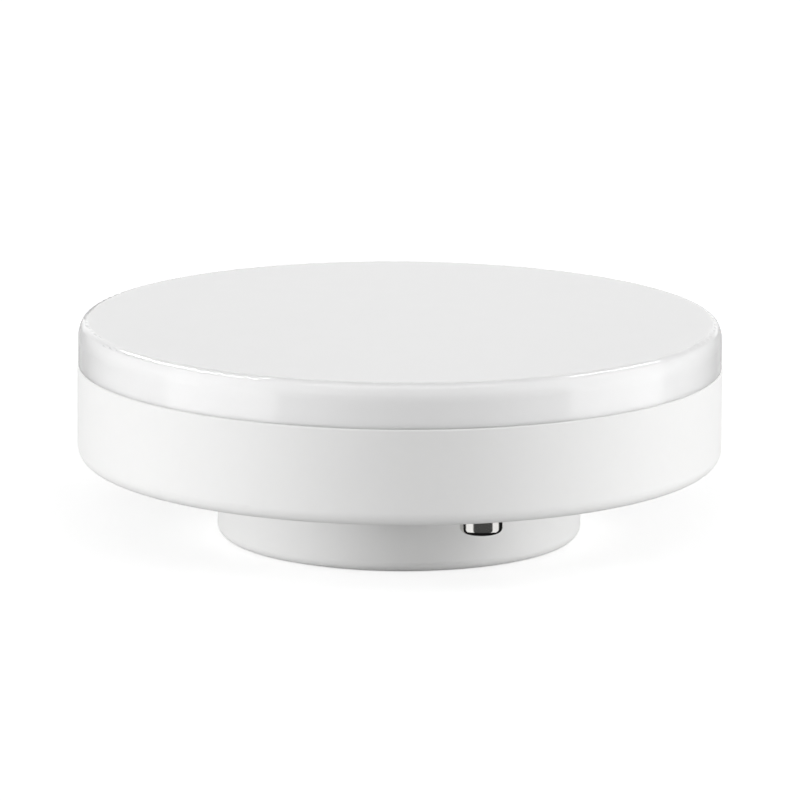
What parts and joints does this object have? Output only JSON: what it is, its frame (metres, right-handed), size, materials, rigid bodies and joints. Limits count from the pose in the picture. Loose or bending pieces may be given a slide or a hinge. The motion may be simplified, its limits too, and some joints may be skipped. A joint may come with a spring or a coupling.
{
  "type": "led disc lamp",
  "caption": "Flat round diode lamp with an opal diffuser, a white skirt, and a two-pin twist-lock cap round a hollow boss.",
  "frame": {"origin": "centre of the boss's end face, on the lamp's axis, where the lamp stands", "axes": "+Z along the lamp's axis towards the diffuser; the two contact pins lie on the Y axis, the front one at -Y"},
  "size_m": [0.075, 0.075, 0.0253],
  "materials": {
    "white_moulding": "glossy injection-moulded white",
    "opal_moulding": "glossy milky opal",
    "nickel_plate": "bright nickel plate on turned brass",
    "tag_brass": "stamped, bright",
    "white_wire": "smooth silicone insulation",
    "spreader_aluminium": "pressed sheet, satin",
    "white_board": "aluminium core under white solder mask",
    "diode_frame": "moulded, matte",
    "phosphor": "yellow silicone, smooth",
    "screw_steel": "zinc plate",
    "cover_plastic": "moulded, matte",
    "circuit_laminate": "solder mask, satin",
    "solder": "tinned, bright",
    "black_sleeve": "aluminium can in a shrunk black sleeve",
    "film_case": "moulded case, glossy",
    "ferrite": "sintered, matte",
    "enamelled_copper": "enamelled copper wire",
    "blue_dip": "dipped coat, glossy",
    "resistor_coat": "lacquered, satin",
    "chip_moulding": "moulded, matte",
    "chip_ceramic": "sintered, satin",
    "red_wire": "smooth insulation",
    "black_wire": "smooth insulation"
  },
  "bodies": {
    "root": {"housing": "white_moulding", "diffuser": "opal_moulding", "contact_pin_front": "nickel_plate", "contact_pin_rear": "nickel_plate", "contact_tag_front": "tag_brass", "contact_tag_rear": "tag_brass", "mains_wire_front": "white_wire", "mains_wire_rear": "white_wire", "heat_spreader": "spreader_aluminium", "diode_board": "white_board", "diode_packages": "diode_frame", "diode_fills": "phosphor", "board_screws": "screw_steel", "driver_cover": "cover_plastic", "driver_board": "circuit_laminate", "driver_solder": "solder", "input_capacitor": "black_sleeve", "output_capacitor": "black_sleeve", "film_capacitor": "film_case", "choke_core": "ferrite", "choke_winding": "enamelled_copper", "varistor": "blue_dip", "fuse_resistor": "resistor_coat", "rectifier": "chip_moulding", "driver_chip": "chip_moulding", "diode_block": "chip_moulding", "small_chips": "chip_ceramic", "led_wire_positive": "red_wire", "led_wire_negative": "black_wire"}
  },
  "joints": []
}
